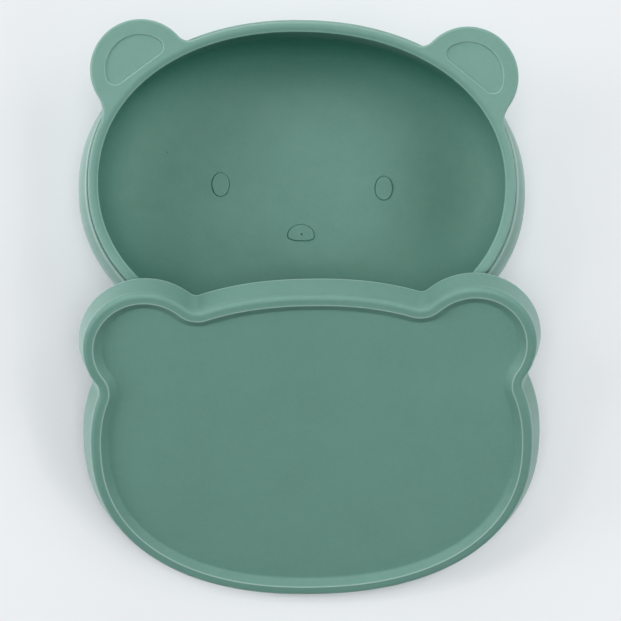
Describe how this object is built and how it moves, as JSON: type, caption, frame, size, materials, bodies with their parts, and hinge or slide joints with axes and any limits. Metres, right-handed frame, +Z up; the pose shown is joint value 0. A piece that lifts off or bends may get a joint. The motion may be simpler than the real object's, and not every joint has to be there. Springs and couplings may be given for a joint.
{
  "type": "suction bowl with lid",
  "caption": "Bear-faced silicone suction bowl with flat ears, raised eyes and nose, a suction foot with release tab, and a matching bear-shaped lid leaning on its rim.",
  "frame": {"origin": "centre of the bowl's suction seat on the table: table plane, on the vertical axis through the centre of the bowl's oval", "axes": "+Z up out of the bowl, +Y towards the bear's ears, +X to the right looking down with the ears at the top"},
  "size_m": [0.1714, 0.212, 0.0603],
  "materials": {
    "bowl_silicone": "matte sage green silicone, very fine grain",
    "base_silicone": "matte sage green silicone, smooth",
    "lid_silicone": "matte sage green silicone, very fine grain"
  },
  "bodies": {
    "bowl_body": {"bowl": "bowl_silicone", "suction_base": "base_silicone"},
    "tab": {"release_tab": "base_silicone"},
    "lid_body": {"lid": "lid_silicone"}
  },
  "joints": [
    {"name": "tab_lift", "type": "hinge", "parent": "bowl_body", "child": "tab", "pos_m": [0, -0.0395, 0.0013], "axis": [-1, 0, 0], "range_deg": [0, 30], "stiffness_Nm_per_rad": 0.01},
    {"name": "lid_lift", "type": "slide", "parent": "bowl_body", "child": "lid_body", "axis": [0, 0, 1], "range_m": [0, 0.1]}
  ]
}
